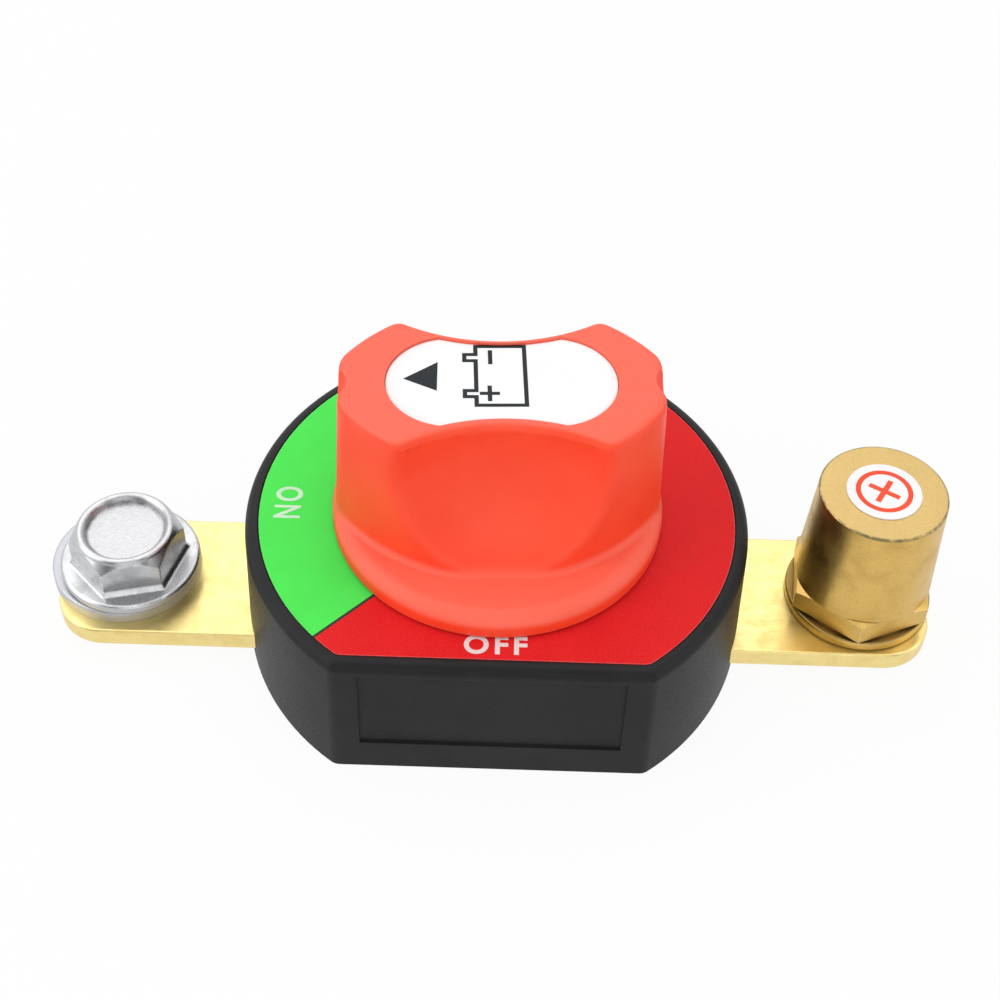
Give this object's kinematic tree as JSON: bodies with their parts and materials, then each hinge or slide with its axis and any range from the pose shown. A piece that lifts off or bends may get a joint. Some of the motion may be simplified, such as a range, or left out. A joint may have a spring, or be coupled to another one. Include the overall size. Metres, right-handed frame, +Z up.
{
  "type": "battery terminal disconnect switch",
  "caption": "Rotary battery disconnect switch: red grip knob on a flat-sided black case, brass bars left and right carrying a cable bolt and a tapered battery post.",
  "frame": {"origin": "on the knob's axis, at the underside of the case", "axes": "+Z up along the knob's axis, +X towards the battery post, -Y towards the flat side below the OFF mark"},
  "size_m": [0.1262, 0.057, 0.045],
  "materials": {
    "case_black": "fine moulded grain, satin",
    "dial_print": "printed film with a satin coat",
    "zinc_steel": "plated steel",
    "bar_brass": "rolled and stamped, satin",
    "post_brass": "turned, slightly dulled",
    "contact_copper": "bare copper",
    "inner_plastic": "natural moulded nylon",
    "sticker_white": "round printed sticker",
    "bright_zinc": "bright zinc plate",
    "seal_rubber": "plain",
    "knob_red": "moulded, satin",
    "insert_white": "smooth, printed"
  },
  "bodies": {
    "case": {"housing_shell": "case_black", "dial_label": "dial_print", "base_cover": "case_black", "base_screw_1": "zinc_steel", "base_screw_2": "zinc_steel", "base_screw_3": "zinc_steel", "base_screw_4": "zinc_steel", "strip_left": "bar_brass", "strip_right": "bar_brass", "fixed_contact_left": "contact_copper", "fixed_contact_right": "contact_copper", "insulator_plate": "inner_plastic", "thrust_washer": "inner_plastic", "terminal_post": "post_brass", "post_washer": "post_brass", "post_label": "sticker_white", "terminal_bolt": "bright_zinc", "bolt_washer": "bright_zinc"},
    "switch_rotor": {"rotor": "inner_plastic", "shaft_seal": "seal_rubber", "contact_bridge": "contact_copper", "contact_spring": "zinc_steel", "knob": "knob_red", "knob_insert": "insert_white", "knob_screw": "zinc_steel", "knob_screw_washer": "zinc_steel"}
  },
  "joints": [
    {"name": "knob_turn", "type": "hinge", "parent": "case", "child": "switch_rotor", "pos_m": [0, 0, 0], "axis": [0, 0, 1], "range_deg": [0, 90]}
  ]
}
